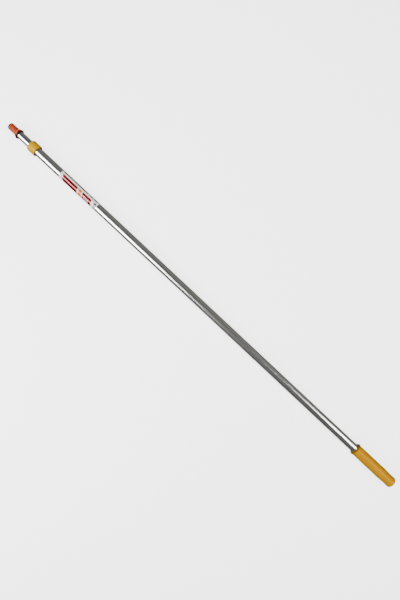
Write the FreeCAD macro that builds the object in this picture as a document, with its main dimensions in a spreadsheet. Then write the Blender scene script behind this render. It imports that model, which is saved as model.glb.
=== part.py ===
"""Roller extension pole: two round aluminium tubes, one sliding in the other, with a twist lock.

The pole lies along X with its threaded tip at +X, and +Z is up. The origin is on the ground under
the middle of the collapsed pole. All lengths are in millimetres. Every driving dimension is a cell
of the sheet "Sizes". The places where pieces meet along the pole are worked out from those cells
in the variable set "Stations", and every sketch, feature and placement is bound to one or the other.
"""
import FreeCAD, Part
import math
import os
import Sketcher

SIZES = {
    # outer section, whose tube sets the length of the whole pole
    "outer_tube_length": 1255.7,
    "outer_tube_wall": 0.8,
    # inner section, with the bare length that shows between the collar and the tip when it is closed
    "bare_length": 38.5,
    "inner_tube_diameter": 19.8,
    "inner_tube_wall": 0.9,
    # threaded tip, moulded over and into the front of the inner tube
    "thread_diameter": 19.05,
    "thread_length": 25.4,
    "nose_bevel": 3.0,
    "flare_length": 7.2,
    "skirt_wall": 3.45,
    "skirt_length": 3.0,
    "skirt_lip": 1.2,
    "skirt_hollow": 3.8,
    "socket_wall": 0.79375,
    "spigot_length": 44.0,
    # rivet and pins
    "rivet_diameter": 3.2,
    "rivet_head_diameter": 6.0,
    "rivet_head_height": 0.9,
    "rivet_grip": 6.0,
    "tip_rivet_setback": 22.0,
    "pin_diameter": 3.0,
    "pin_recess": 0.1,
    "pin_length": 6.0,
    # journal plug and guide bush at the rear end of the inner tube
    "journal_spigot_length": 24.0,
    "journal_step": 1.5,
    "journal_tail": 1.6,
    "journal_pin_setback": 12.0,
    "bush_length": 9.0,
    "bush_end_play": 0.3,
    "bush_running_clearance": 0.08,
    "bush_sliding_clearance": 0.1,
    "air_groove_width": 3.0,
    "air_groove_depth": 0.9,
    "air_groove_count": 4,
    "washer_thickness": 0.9,
    "washer_width": 1.9,
    # stop sleeve, which keeps the tubes overlapping at full reach
    "stop_sleeve_length": 160.0,
    "stop_sleeve_wall": 0.55,
    "stop_sleeve_slot": 2.0,
    "tube_clearance": 0.15,
    # lock head on the front of the outer tube
    "lock_thread_clearance": 0.15,
    "sleeve_seat_length": 9.0,
    "sleeve_shoulder": 3.0,
    "sleeve_land": 0.4,
    "sleeve_pin_setback": 4.5,
    "cone_length": 3.8,
    "cone_rise": 1.8,
    "ring_band_length": 2.0,
    "ring_throat_wall": 1.0,
    "ring_clearance": 0.1,
    "ring_seat_gap": 0.25,
    "ring_split_width": 1.6,
    "ring_kerf_width": 0.9,
    "ring_kerf_web": 2.2,
    "ring_kerf_count": 3,
    "collar_wall": 1.65,
    "collar_length": 25.7,
    "collar_nose_wall": 3.0,
    "collar_nose_clearance": 0.3,
    "collar_nose_bevel": 2.6,
    # grip and the plug in the tube's rear end
    "grip_length": 131.0,
    "grip_wall": 3.8,
    "grip_flange_rise": 1.15,
    "grip_flange_length": 4.6,
    "grip_flange_bevel": 1.4,
    "grip_waist_depth": 0.75,
    "grip_waist_place": 20.5,
    "grip_waist_length": 15.0,
    "grip_waist_ramp": 6.0,
    "grip_end_step": 0.4,
    "grip_end_round": 5.5,
    "grip_end_wall": 4.5,
    "end_plug_length": 20.0,
    "pad_clearance": 1.6,
    "pad_thickness": 5.0,
    "landing_gap": 0.3,
    # wrap-round label
    "label_length": 126.0,
    "label_setback": 93.3,
    "label_thickness": 0.12,
    "label_wrap_angle": 344.0,
}

DOWNWARD = FreeCAD.Rotation(FreeCAD.Vector(0, 1, 0), 90)

STATIONS = {
    # radii, worked outwards from the inner tube
    "inner_radius": "Sizes.inner_tube_diameter / 2",
    "inner_bore_radius": "Stations.inner_radius - Sizes.inner_tube_wall",
    "journal_radius": "Stations.inner_bore_radius - Sizes.journal_step",
    "skirt_radius": "Stations.inner_radius + Sizes.skirt_wall",
    "stop_radius": "Stations.inner_radius + Sizes.stop_sleeve_wall",
    "stop_bore_radius": "Stations.inner_radius + Sizes.tube_clearance",
    "outer_bore_radius": "Stations.stop_radius + Sizes.tube_clearance",
    "outer_radius": "Stations.outer_bore_radius + Sizes.outer_tube_wall",
    "ring_bore_radius": "Stations.inner_radius + Sizes.ring_clearance",
    "cone_throat_radius": "Stations.ring_bore_radius + Sizes.ring_throat_wall",
    "cone_mouth_radius": "Stations.cone_throat_radius + Sizes.cone_rise",
    "lock_thread_radius": "Stations.cone_mouth_radius + Sizes.sleeve_land",
    "collar_bore_radius": "Stations.lock_thread_radius + Sizes.lock_thread_clearance",
    "collar_radius": "Stations.collar_bore_radius + Sizes.collar_wall",
    "grip_radius": "Stations.outer_radius + Sizes.grip_wall",
    "flange_radius": "Stations.grip_radius + Sizes.grip_flange_rise",
    # how much the two tapered seats and the ring's cones widen for each millimetre along them
    "cone_slope": "Sizes.cone_rise / Sizes.cone_length",
    # the journal, reaching back from the rear end of the inner tube to its tail
    "washer_front": "Sizes.bush_length + Sizes.bush_end_play",
    "journal_length": "Stations.washer_front + Sizes.washer_thickness + Sizes.journal_tail",
    # the lock head, from the front end of the outer tube to the front of the collar
    "ring_length": "2 * Sizes.cone_length + Sizes.ring_band_length",
    "head_reach": "Sizes.sleeve_shoulder + Stations.ring_length + 2 * Sizes.ring_seat_gap"
                  " + Sizes.collar_nose_wall",
    # the tip, from the rear of its skirt to the end of the thread; the tube reaches into it as far
    # as the flare leaves one socket wall outside the tube
    "socket_depth": "Sizes.skirt_length + Sizes.flare_length * (Sizes.skirt_wall - Sizes.socket_wall)"
                    " / (Stations.skirt_radius - Sizes.thread_diameter / 2)",
    "tip_length": "Sizes.skirt_length + Sizes.flare_length + Sizes.thread_length",
    "overall_length": "Sizes.grip_end_wall + Sizes.outer_tube_length + Stations.head_reach"
                      " + Sizes.bare_length + Stations.tip_length",
    # places along X on the closed pole
    "grip_rear": "-Stations.overall_length / 2",
    "outer_tube_rear": "Stations.grip_rear + Sizes.grip_end_wall",
    "outer_tube_front": "Stations.outer_tube_rear + Sizes.outer_tube_length",
    "ring_rear": "Stations.outer_tube_front + Sizes.sleeve_shoulder + Sizes.ring_seat_gap",
    "collar_front": "Stations.outer_tube_front + Stations.head_reach",
    "inner_tube_front": "Stations.collar_front + Sizes.bare_length + Stations.socket_depth",
    "pad_rear": "Stations.outer_tube_rear + Sizes.end_plug_length",
    "inner_tube_rear": "Stations.pad_rear + Sizes.pad_thickness + Sizes.landing_gap"
                       " + Stations.journal_length",
    "inner_tube_length": "Stations.inner_tube_front - Stations.inner_tube_rear",
}


def make_sheet(doc):
    """One row per driving dimension: its name, its plain number and the name again as the alias."""
    sheet = doc.addObject("Spreadsheet::Sheet", "Sizes")
    for row, (name, value) in enumerate(SIZES.items(), start=1):
        sheet.set(f"A{row}", name)
        sheet.set(f"B{row}", str(value))
        sheet.setAlias(f"B{row}", name)
    doc.recompute()
    return sheet


def make_stations(doc):
    """The places and shared radii that follow from the sheet, as named distances."""
    stations = doc.addObject("App::VarSet", "Stations")
    for name in STATIONS:
        stations.addProperty("App::PropertyFloat", name, "Stations")
    for name, formula in STATIONS.items():
        stations.setExpression(name, formula)
    doc.recompute()
    return stations


def make_body(doc, label, along, turn=None):
    """A named body on the pole's axis, with its local origin at the given place along X."""
    body = doc.addObject("PartDesign::Body", label)
    body.Label = label
    if turn is not None:
        body.Placement.Rotation = turn
    body.setExpression("Placement.Base.x", along)
    body.setExpression("Placement.Base.z", "Stations.flange_radius")
    return body


def origin_feature(body, role):
    """A plane or axis of the body's own origin, found by its role."""
    return next(item for item in body.Origin.OriginFeatures if item.Role == role)


def new_sketch(body, name, plane="XY_Plane"):
    """An empty sketch flat on one of the body's origin planes."""
    sketch = body.newObject("Sketcher::SketchObject", name)
    sketch.AttachmentSupport = [(origin_feature(body, plane), "")]
    sketch.MapMode = "FlatFace"
    return sketch


def bind(sketch, kind, formula, *where):
    """Add one dimension whose value is a formula of the sheet."""
    index = sketch.addConstraint(Sketcher.Constraint(kind, *where, float(sketch.evalExpression(formula))))
    sketch.setExpression(f"Constraints[{index}]", formula)


def pin_down(sketch, point, along, across):
    """Fix a sketch point by its two coordinates. The text "0" puts it on the axis itself."""
    geometry, vertex = point
    if along == "0":
        sketch.addConstraint(Sketcher.Constraint("PointOnObject", geometry, vertex, -2))
    else:
        bind(sketch, "DistanceX", along, -1, 1, geometry, vertex)
    if across == "0":
        sketch.addConstraint(Sketcher.Constraint("PointOnObject", geometry, vertex, -1))
    else:
        bind(sketch, "DistanceY", across, -1, 1, geometry, vertex)


def point_at(sketch, along, across):
    """The present position of a point given by two formulas."""
    return FreeCAD.Vector(float(sketch.evalExpression(along)), float(sketch.evalExpression(across)), 0)


def draw_outline(sketch, outline):
    """Draw a closed outline of straight edges through corners given as pairs of formulas."""
    corners = [point_at(sketch, along, across) for along, across in outline]
    count = len(corners)
    for index in range(count):
        sketch.addGeometry(Part.LineSegment(corners[index], corners[(index + 1) % count]), False)
    for index in range(count):
        sketch.addConstraint(Sketcher.Constraint("Coincident", index, 2, (index + 1) % count, 1))
    for index, (along, across) in enumerate(outline):
        pin_down(sketch, (index, 1), along, across)


def rounded(along, across, size, flats, facing):
    """The corners of a rounded rim whose sharp corner would be at the given place and radius.

    The quarter turn is cut into a few equal flats, from the end face round to the outside. facing
    is 1 for a rim at a front end and -1 for one at a rear end.
    """
    steps = [math.radians(90 * step / flats) for step in range(flats + 1)]
    return [(f"{along} - {facing * (1 - math.cos(turn)):.4f} * {size}",
             f"{across} - {1 - math.sin(turn):.4f} * {size}") for turn in steps]


def lathe(body, name, outline, angle="360"):
    """Turn an outline of (place along X, radius) corners about the body's X axis."""
    sketch = new_sketch(body, name + "_profile")
    draw_outline(sketch, outline)
    turned = body.newObject("PartDesign::Revolution", name)
    turned.Profile = sketch
    turned.ReferenceAxis = (sketch, ["H_Axis"])
    turned.setExpression("Angle", angle)
    turned.Midplane = True
    body.Document.recompute()
    return turned


def pad_tube(body, name, outer_radius, bore_radius, length):
    """A round tube along X from the body's origin."""
    sketch = new_sketch(body, name + "_section", "YZ_Plane")
    for index, formula in enumerate((outer_radius, bore_radius)):
        radius = float(sketch.evalExpression(formula))
        sketch.addGeometry(Part.Circle(FreeCAD.Vector(), FreeCAD.Vector(0, 0, 1), radius), False)
        sketch.addConstraint(Sketcher.Constraint("Coincident", index, 3, -1, 1))
        bind(sketch, "Radius", formula, index)
    pad = body.newObject("PartDesign::Pad", name)
    pad.Profile = sketch
    pad.setExpression("Length", length)
    body.Document.recompute()
    return pad


def pin_hole(body, name, along, diameter):
    """A hole from the axis straight down through the lower wall, for a pin or a rivet."""
    sketch = new_sketch(body, name + "_circle")
    radius = float(sketch.evalExpression(diameter)) / 2
    sketch.addGeometry(Part.Circle(point_at(sketch, along, "0"), FreeCAD.Vector(0, 0, 1), radius), False)
    pin_down(sketch, (0, 3), along, "0")
    bind(sketch, "Diameter", diameter, 0)
    hole = body.newObject("PartDesign::Pocket", name)
    hole.Profile = sketch
    hole.Type = "ThroughAll"
    body.Document.recompute()
    return hole


def slot_cut(body, name, rear, front, width, reach, direction=1, floor="0"):
    """A straight slot cut outward through one side of a ring.

    It runs from rear to front along X. It starts at the floor height above the axis and cuts as far
    as reach, towards +Z if direction is 1 or towards -Z if it is -1.
    """
    sketch = new_sketch(body, name + "_outline")
    draw_outline(sketch, [(rear, f"-{width} / 2"), (front, f"-{width} / 2"),
                          (front, f"{width} / 2"), (rear, f"{width} / 2")])
    if floor != "0":
        sketch.setExpression("AttachmentOffset.Base.z", f"{direction} * ({floor})")
    cut = body.newObject("PartDesign::Pocket", name)
    cut.Profile = sketch
    cut.Type = "Length"
    cut.setExpression("Length", reach)
    cut.Reversed = direction > 0
    body.Document.recompute()
    return cut


def around(body, name, feature, count):
    """Repeat a cut evenly round the body's X axis."""
    pattern = body.newObject("PartDesign::PolarPattern", name)
    pattern.Originals = [feature]
    pattern.Axis = (origin_feature(body, "X_Axis"), [""])
    pattern.Angle = 360
    pattern.setExpression("Occurrences", count)
    body.Tip = pattern
    body.Document.recompute()
    return pattern


def make_outer_tube(doc):
    """The larger tube, drilled near its front for the lock sleeve's pin."""
    body = make_body(doc, "outer_tube", "Stations.outer_tube_rear")
    pad_tube(body, "drawn_tube", "Stations.outer_radius", "Stations.outer_bore_radius",
             "Sizes.outer_tube_length")
    pin_hole(body, "sleeve_pin_hole", "Sizes.outer_tube_length - Sizes.sleeve_pin_setback",
             "Sizes.pin_diameter")
    return body


def make_inner_tube(doc):
    """The smaller tube, drilled near its front for the tip's rivet and its rear for the journal's pin."""
    body = make_body(doc, "inner_tube", "Stations.inner_tube_rear")
    pad_tube(body, "drawn_tube", "Stations.inner_radius", "Stations.inner_bore_radius",
             "Stations.inner_tube_length")
    pin_hole(body, "tip_rivet_hole", "Stations.inner_tube_length - Sizes.tip_rivet_setback",
             "Sizes.rivet_diameter")
    pin_hole(body, "journal_pin_hole", "Sizes.journal_pin_setback", "Sizes.pin_diameter")
    return body


def make_thread_tip(doc):
    """The moulded tip: a male thread's major cylinder, a flare, and a socket that takes the tube's wall.

    The local origin is the floor of the socket, where the inner tube ends. A spigot reaches back
    inside the tube, and the skirt is hollow round the outside of it, down to a thin lip.
    """
    body = make_body(doc, "thread_tip", "Stations.inner_tube_front")
    skirt_rear = "-Stations.socket_depth"
    skirt_front = "-Stations.socket_depth + Sizes.skirt_length"
    hollow_floor = "-Stations.socket_depth + Sizes.skirt_hollow"
    lip_bore = "Stations.skirt_radius - Sizes.skirt_lip"
    thread_rear = f"{skirt_front} + Sizes.flare_length"
    tip_end = "Stations.tip_length - Stations.socket_depth"
    thread_radius = "Sizes.thread_diameter / 2"
    lathe(body, "moulding", [
        ("-Sizes.spigot_length", "0"),
        ("-Sizes.spigot_length", "Stations.inner_bore_radius"),
        ("0", "Stations.inner_bore_radius"),
        ("0", "Stations.inner_radius"),
        (hollow_floor, "Stations.inner_radius"),
        (hollow_floor, lip_bore),
        (skirt_rear, lip_bore),
        (skirt_rear, "Stations.skirt_radius"),
        (skirt_front, "Stations.skirt_radius"),
        (thread_rear, thread_radius),
        *reversed(rounded(tip_end, thread_radius, "Sizes.nose_bevel", 1, 1)),
        (tip_end, "0"),
    ])
    pin_hole(body, "rivet_hole", "-Sizes.tip_rivet_setback", "Sizes.rivet_diameter")
    return body


def make_pin(doc, label, along, foot, head):
    """A straight pin driven up through a lower wall, given the depths below the axis of its two ends."""
    body = make_body(doc, label, along, DOWNWARD)
    radius = "Sizes.pin_diameter / 2"
    lathe(body, "pin", [(foot, "0"), (foot, radius), (head, radius), (head, "0")])
    return body


def make_tip_rivet(doc):
    """A drive rivet up through the lower wall of the tube into the spigot, with a low outer head."""
    body = make_body(doc, "tip_rivet", "Stations.inner_tube_front - Sizes.tip_rivet_setback", DOWNWARD)
    seat = "Stations.inner_radius"
    foot = f"{seat} - Sizes.rivet_grip"
    crown = f"{seat} + Sizes.rivet_head_height"
    shank = "Sizes.rivet_diameter / 2"
    head = "Sizes.rivet_head_diameter / 2"
    lathe(body, "rivet", [
        (foot, "0"), (foot, shank), (seat, shank),
        (seat, head), (crown, head), (crown, "0"),
    ])
    return body


def make_journal_plug(doc):
    """The plug in the inner tube's rear end, with a journal for the bush and its washer.

    The local origin is the tube's rear end, and the journal reaches back along -X.
    """
    body = make_body(doc, "journal_plug", "Stations.inner_tube_rear")
    tail = "-Stations.journal_length"
    lathe(body, "moulding", [
        (tail, "0"),
        (tail, "Stations.journal_radius"),
        ("0", "Stations.journal_radius"),
        ("0", "Stations.inner_bore_radius"),
        ("Sizes.journal_spigot_length", "Stations.inner_bore_radius"),
        ("Sizes.journal_spigot_length", "0"),
    ])
    pin_hole(body, "pin_hole", "Sizes.journal_pin_setback", "Sizes.pin_diameter")
    return body


def make_bush_washer(doc):
    """The spring-steel washer pushed on to the journal behind the bush."""
    body = make_body(doc, "bush_washer", "Stations.inner_tube_rear - Stations.washer_front")
    inner = "Stations.journal_radius"
    outer = f"{inner} + Sizes.washer_width"
    lathe(body, "washer", [("-Sizes.washer_thickness", inner), ("0", inner),
                           ("0", outer), ("-Sizes.washer_thickness", outer)])
    return body


def make_guide_bush(doc):
    """The nylon bush that turns on the journal and slides in the outer tube, with grooves for air."""
    body = make_body(doc, "guide_bush", "Stations.inner_tube_rear - Sizes.bush_end_play / 2")
    bore = "Stations.journal_radius + Sizes.bush_running_clearance"
    rim = "Stations.outer_bore_radius - Sizes.bush_sliding_clearance"
    lathe(body, "ring", [("-Sizes.bush_length", bore), ("0", bore),
                         ("0", rim), ("-Sizes.bush_length", rim)])
    cut = slot_cut(body, "air_groove", "-Sizes.bush_length", "0", "Sizes.air_groove_width",
                   "2 * Sizes.air_groove_depth", 1, f"{rim} - Sizes.air_groove_depth")
    around(body, "air_grooves", cut, "Sizes.air_groove_count")
    return body


def make_stop_sleeve(doc):
    """The split sleeve round the rear of the inner tube, which meets the lock sleeve at full reach.

    It springs on over the journal's pin and keeps it in.
    """
    body = make_body(doc, "stop_sleeve", "Stations.inner_tube_rear")
    lathe(body, "sleeve", [("0", "Stations.inner_radius"),
                           ("Sizes.stop_sleeve_length", "Stations.inner_radius"),
                           ("Sizes.stop_sleeve_length", "Stations.stop_radius"),
                           ("0", "Stations.stop_radius")])
    slot_cut(body, "split", "0", "Sizes.stop_sleeve_length", "Sizes.stop_sleeve_slot",
             "Sizes.inner_tube_diameter")
    return body


def make_lock_sleeve(doc):
    """The threaded sleeve on the front of the outer tube, with a shoulder and a tapered seat.

    The local origin is the rear face of the shoulder, where the outer tube ends.
    """
    body = make_body(doc, "lock_sleeve", "Stations.outer_tube_front")
    rear = "-Sizes.sleeve_seat_length"
    mouth = "Sizes.sleeve_shoulder + Sizes.cone_length"
    seat_rise = "Stations.cone_mouth_radius - Stations.stop_bore_radius"
    lathe(body, "turning", [
        (rear, "Stations.outer_radius"),
        ("0", "Stations.outer_radius"),
        ("0", "Stations.stop_bore_radius"),
        (f"{mouth} - ({seat_rise}) / Stations.cone_slope", "Stations.stop_bore_radius"),
        (mouth, "Stations.cone_mouth_radius"),
        (mouth, "Stations.lock_thread_radius"),
        (rear, "Stations.lock_thread_radius"),
    ])
    pin_hole(body, "pin_hole", "-Sizes.sleeve_pin_setback", "Sizes.pin_diameter")
    return body


def make_wedge_ring(doc):
    """The split ring with a cone at each end that the collar squeezes on to the inner tube.

    Kerfs cut in from the front and the rear by turns let it close evenly, and one slot goes right
    through. The local origin is its rear face.
    """
    body = make_body(doc, "wedge_ring", "Stations.ring_rear")
    front = "Stations.ring_length"
    lathe(body, "turning", [
        ("0", "Stations.ring_bore_radius"),
        (front, "Stations.ring_bore_radius"),
        (front, "Stations.cone_throat_radius"),
        ("Sizes.cone_length + Sizes.ring_band_length", "Stations.cone_mouth_radius"),
        ("Sizes.cone_length", "Stations.cone_mouth_radius"),
        ("0", "Stations.cone_throat_radius"),
    ])
    reach = "2 * Stations.cone_mouth_radius"
    kerf = slot_cut(body, "rear_kerf", "0", f"{front} - Sizes.ring_kerf_web",
                    "Sizes.ring_kerf_width", reach, 1)
    around(body, "rear_kerfs", kerf, "Sizes.ring_kerf_count")
    kerf = slot_cut(body, "front_kerf", "Sizes.ring_kerf_web", front,
                    "Sizes.ring_kerf_width", reach, -1)
    around(body, "front_kerfs", kerf, "Sizes.ring_kerf_count")
    slot_cut(body, "split", "0", front, "Sizes.ring_split_width", reach, 1)
    return body


def make_lock_collar(doc):
    """The collar that screws over the lock sleeve, with a tapered seat behind its nose.

    The local origin is the front face.
    """
    body = make_body(doc, "lock_collar", "Stations.collar_front")
    rear = "-Sizes.collar_length"
    nose_bore = "Stations.inner_radius + Sizes.collar_nose_clearance"
    throat = "-Sizes.collar_nose_wall"
    rise_to_bore = "Stations.collar_bore_radius - Stations.cone_throat_radius"
    fall_to_nose = f"Stations.cone_throat_radius - ({nose_bore})"
    lathe(body, "moulding", [
        (rear, "Stations.collar_bore_radius"),
        (f"{throat} - ({rise_to_bore}) / Stations.cone_slope", "Stations.collar_bore_radius"),
        (f"{throat} + ({fall_to_nose}) / Stations.cone_slope", nose_bore),
        ("0", nose_bore),
        *rounded("0", "Stations.collar_radius", "Sizes.collar_nose_bevel", 1, 1),
        (rear, "Stations.collar_radius"),
    ])
    return body


def make_grip(doc):
    """The moulded grip: a flanged front, a long handle, a shallow waist and a rounded closed end.

    The local origin is its rear end.
    """
    body = make_body(doc, "grip", "Stations.grip_rear")
    end_radius = "Stations.grip_radius - Sizes.grip_end_step"
    waist_radius = "Stations.grip_radius - Sizes.grip_waist_depth"
    waist_rear = "Sizes.grip_waist_place - Sizes.grip_waist_length / 2"
    waist_front = "Sizes.grip_waist_place + Sizes.grip_waist_length / 2"
    flange_rear = "Sizes.grip_length - Sizes.grip_flange_length"
    lathe(body, "moulding", [
        ("0", "0"),
        *rounded("0", end_radius, "Sizes.grip_end_round", 2, -1),
        (f"{waist_rear} - Sizes.grip_waist_ramp", end_radius),
        (waist_rear, waist_radius),
        (waist_front, waist_radius),
        (f"{waist_front} + Sizes.grip_waist_ramp", "Stations.grip_radius"),
        (flange_rear, "Stations.grip_radius"),
        (flange_rear, "Stations.flange_radius"),
        *reversed(rounded("Sizes.grip_length", "Stations.flange_radius", "Sizes.grip_flange_bevel", 1, 1)),
        ("Sizes.grip_length", "Stations.outer_radius"),
        ("Sizes.grip_end_wall", "Stations.outer_radius"),
        ("Sizes.grip_end_wall", "0"),
    ])
    return body


def make_end_plug(doc):
    """The plug trapped between the outer tube's rear end and the grip, whose face carries the pad.

    The local origin is the tube's rear end.
    """
    body = make_body(doc, "end_plug", "Stations.outer_tube_rear")
    rim = "Stations.outer_bore_radius"
    lathe(body, "moulding", [("0", "0"), ("0", rim),
                             ("Sizes.end_plug_length", rim), ("Sizes.end_plug_length", "0")])
    return body


def make_bump_pad(doc):
    """The rubber pad on the end plug that the inner section lands on when the pole is closed."""
    body = make_body(doc, "bump_pad", "Stations.pad_rear")
    rim = "Stations.outer_bore_radius - Sizes.pad_clearance"
    lathe(body, "pad", [("0", "0"), ("0", rim),
                        ("Sizes.pad_thickness", rim), ("Sizes.pad_thickness", "0")])
    return body


def make_label(doc):
    """The printed film wrapped round the outer tube, with its seam underneath.

    The local origin is its front edge.
    """
    body = make_body(doc, "label", "Stations.outer_tube_front - Sizes.label_setback",
                     FreeCAD.Rotation(FreeCAD.Vector(1, 0, 0), 90))
    outer = "Stations.outer_radius + Sizes.label_thickness"
    lathe(body, "film", [("-Sizes.label_length", "Stations.outer_radius"),
                         ("0", "Stations.outer_radius"),
                         ("0", outer),
                         ("-Sizes.label_length", outer)], "Sizes.label_wrap_angle")
    return body


def make_sleeve_pin(doc):
    """The pin that holds the lock sleeve on the outer tube."""
    return make_pin(doc, "sleeve_pin", "Stations.outer_tube_front - Sizes.sleeve_pin_setback",
                    "Stations.outer_bore_radius + Sizes.pin_recess",
                    "Stations.lock_thread_radius - 2 * Sizes.pin_recess")


def make_journal_pin(doc):
    """The pin that holds the journal plug in the inner tube."""
    wall = "Stations.inner_radius"
    return make_pin(doc, "journal_pin", "Stations.inner_tube_rear + Sizes.journal_pin_setback",
                    f"{wall} - Sizes.pin_length", f"{wall} - 2 * Sizes.pin_recess")


def make_all(doc):
    """Every piece of the pole, from the tip to the grip."""
    return [
        make_thread_tip(doc),
        make_tip_rivet(doc),
        make_inner_tube(doc),
        make_stop_sleeve(doc),
        make_journal_plug(doc),
        make_guide_bush(doc),
        make_bush_washer(doc),
        make_lock_collar(doc),
        make_wedge_ring(doc),
        make_lock_sleeve(doc),
        make_outer_tube(doc),
        make_label(doc),
        make_bump_pad(doc),
        make_end_plug(doc),
        make_grip(doc),
        make_sleeve_pin(doc),
        make_journal_pin(doc),
    ]


def check(doc, bodies):
    """Stop if any object failed to compute or any piece has no sound solid."""
    for item in doc.Objects:
        if "Invalid" in item.State or "Error" in item.State:
            raise RuntimeError(f"{item.Name} is {item.State}")
    for body in bodies:
        if body.Shape.isNull() or not body.Shape.isValid() or not body.Shape.Solids:
            raise RuntimeError(f"{body.Label} has no valid solid")


def main():
    """Build the document, check it and write one STEP file per piece."""
    doc = FreeCAD.newDocument("roller_extension_pole")
    make_sheet(doc)
    make_stations(doc)
    bodies = make_all(doc)
    doc.recompute()
    check(doc, bodies)
    os.makedirs("parts", exist_ok=True)
    for body in bodies:
        body.Shape.exportStep(f"parts/{body.Label}.step")
    return bodies


pieces = main()
for piece in pieces:
    box = piece.Shape.optimalBoundingBox()
    print(f"{piece.Label:14s} {len(piece.Shape.Solids)} solid(s) {piece.Shape.Volume:11.1f} mm3"
          f"  x {box.XMin:8.2f} .. {box.XMax:8.2f}  z {box.ZMin:6.2f} .. {box.ZMax:6.2f}")
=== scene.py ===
"""Roller extension pole: turned outer forms, thread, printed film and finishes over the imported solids.

The pole lies along X with its threaded tip at +X, and +Z is up. The outer pieces are turned surfaces
and a film wrapped round the tube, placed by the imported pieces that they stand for. The pieces that work
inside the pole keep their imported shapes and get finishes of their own. Lengths are in metres.
"""
import math

import bpy
import numpy as np
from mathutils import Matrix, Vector


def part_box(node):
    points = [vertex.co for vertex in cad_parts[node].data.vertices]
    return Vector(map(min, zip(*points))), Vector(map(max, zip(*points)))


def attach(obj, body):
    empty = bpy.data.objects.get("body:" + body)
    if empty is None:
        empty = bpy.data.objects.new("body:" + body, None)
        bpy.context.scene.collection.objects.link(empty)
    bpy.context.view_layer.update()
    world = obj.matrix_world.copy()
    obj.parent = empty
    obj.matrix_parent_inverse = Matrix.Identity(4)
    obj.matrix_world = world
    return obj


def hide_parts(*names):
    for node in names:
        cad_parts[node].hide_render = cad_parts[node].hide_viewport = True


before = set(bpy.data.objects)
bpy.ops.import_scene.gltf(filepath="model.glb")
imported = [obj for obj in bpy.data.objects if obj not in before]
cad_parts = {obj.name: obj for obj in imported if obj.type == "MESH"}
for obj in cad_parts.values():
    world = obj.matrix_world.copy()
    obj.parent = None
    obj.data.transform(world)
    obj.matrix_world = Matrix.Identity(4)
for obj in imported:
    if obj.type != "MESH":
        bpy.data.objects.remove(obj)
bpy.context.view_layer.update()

MM = 0.001
AROUND = 160
NO_TRIANGLES = np.empty((0, 3), int)


# ---------------------------------------------------------------- places taken from the frame

def span(node):
    """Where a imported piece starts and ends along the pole, and its radius across."""
    low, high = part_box(node)
    return low.x, high.x, -low.y


TIP_REAR, TIP_FRONT, SKIRT_RADIUS = span("thread_tip")
INNER_REAR, INNER_FRONT, INNER_RADIUS = span("inner_tube")
OUTER_REAR, OUTER_FRONT, OUTER_RADIUS = span("outer_tube")
COLLAR_REAR, COLLAR_FRONT, COLLAR_RADIUS = span("lock_collar")
LABEL_REAR, LABEL_FRONT, LABEL_RADIUS = span("label")
GRIP_REAR, GRIP_FRONT, _ = span("grip")
SLEEVE_RADIUS = span("lock_sleeve")[2]
PLUG_RADIUS = span("end_plug")[2]
SPIGOT_RADIUS = span("journal_plug")[2]
GRIP_LOW, GRIP_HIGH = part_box("grip")
AXIS_HEIGHT = (GRIP_LOW.z + GRIP_HIGH.z) / 2
FLANGE_RADIUS = (GRIP_HIGH.z - GRIP_LOW.z) / 2

# ---------------------------------------------------------------- sizes of the dressed forms

THREAD_PITCH = 25.4 * MM / 5
THREAD_RADIUS = 9.525 * MM
THREAD_DEPTH = 1.9 * MM
THREAD_CREST = 2.2 * MM
THREAD_FLANK = 0.65 * MM
THREAD_LENGTH = 25.4 * MM
THREAD_FADE = 1.6 * MM
THREAD_ROW = 0.16 * MM
FIRST_CREST = 6.6 * MM
NOSE_ROUND = 4.2 * MM
FLARE_LENGTH = 9.4 * MM
FLARE_BEND = 1.5
FLARE_ROWS = 24
FLARE_GAP = 0.1 * MM
SKIRT_LENGTH = 0.8 * MM
SKIRT_LIP = 1.2 * MM
SKIRT_HOLLOW = 3.8 * MM
SKIRT_EDGE = 0.25 * MM
HOLLOW_ROUND = 0.6 * MM
GATE_RADIUS = 3.0 * MM
GATE_TAPER = 0.8
GATE_DEPTH = 0.6 * MM
GATE_EDGE = 0.4 * MM
# Painted shade on the tip: how far it reaches in from the nose and from the skirt's rim, and how strong
# it gets at each.
NOSE_SHADE_LENGTH = 4.6 * MM
NOSE_SHADE_PEAK = 1.9
RIM_SHADE_LENGTH = 3.6 * MM
RIM_SHADE_PEAK = 2.0

TUBE_EDGE = 0.15 * MM

RIVET_SHANK = 1.6 * MM
RIVET_SHANK_ROUND = 0.3 * MM
RIVET_EDGE = 0.12 * MM
RIVET_RIM = 0.55 * MM
RIVET_CROWN = 0.45
RIVET_DOME = 1.4 * MM
RIVET_AROUND = 48

COLLAR_EDGE = 0.3 * MM
COLLAR_NOSE_ROUND = 3.6 * MM
COLLAR_REAR_ROUND = 0.6 * MM
COLLAR_NOSE_BORE = INNER_RADIUS + 0.3 * MM
COLLAR_BORE = SLEEVE_RADIUS + 0.15 * MM
SEAT_SLOPE = 1.8 / 3.8
SEAT_FRONT = COLLAR_FRONT - 3.0 * MM
SEAT_THROAT = INNER_RADIUS + 1.1 * MM

FLANGE_LENGTH = 4.6 * MM
FLANGE_BEAD = 2.0 * MM
FLANGE_REAR_BEAD = 0.6
FLANGE_NECK = 1.0 * MM
# Painted shade on the grip's flange: how far back it reaches from the flange's front, and how strong it
# gets there.
FLANGE_SHADE_LENGTH = 3.6 * MM
FLANGE_SHADE_PEAK = 1.4
HANDLE_RADIUS = 15.2 * MM
HANDLE_FRONT_RADIUS = 15.0 * MM
HANDLE_TAPER = 30.0 * MM
HANDLE_ROW = 1.0 * MM
WAIST_PLACE = 20.5 * MM
WAIST_DEPTH = 0.75 * MM
WAIST_REACH = 18.0 * MM
END_STEP = 0.4 * MM
END_ROUND = 4.4 * MM
END_REACH = 1.35 * END_ROUND
NECK_REACH = 1.5 * FLANGE_NECK
NECK_CLEARANCE = 2 * FLANGE_NECK
BORE_EDGE = 0.4 * MM

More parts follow.
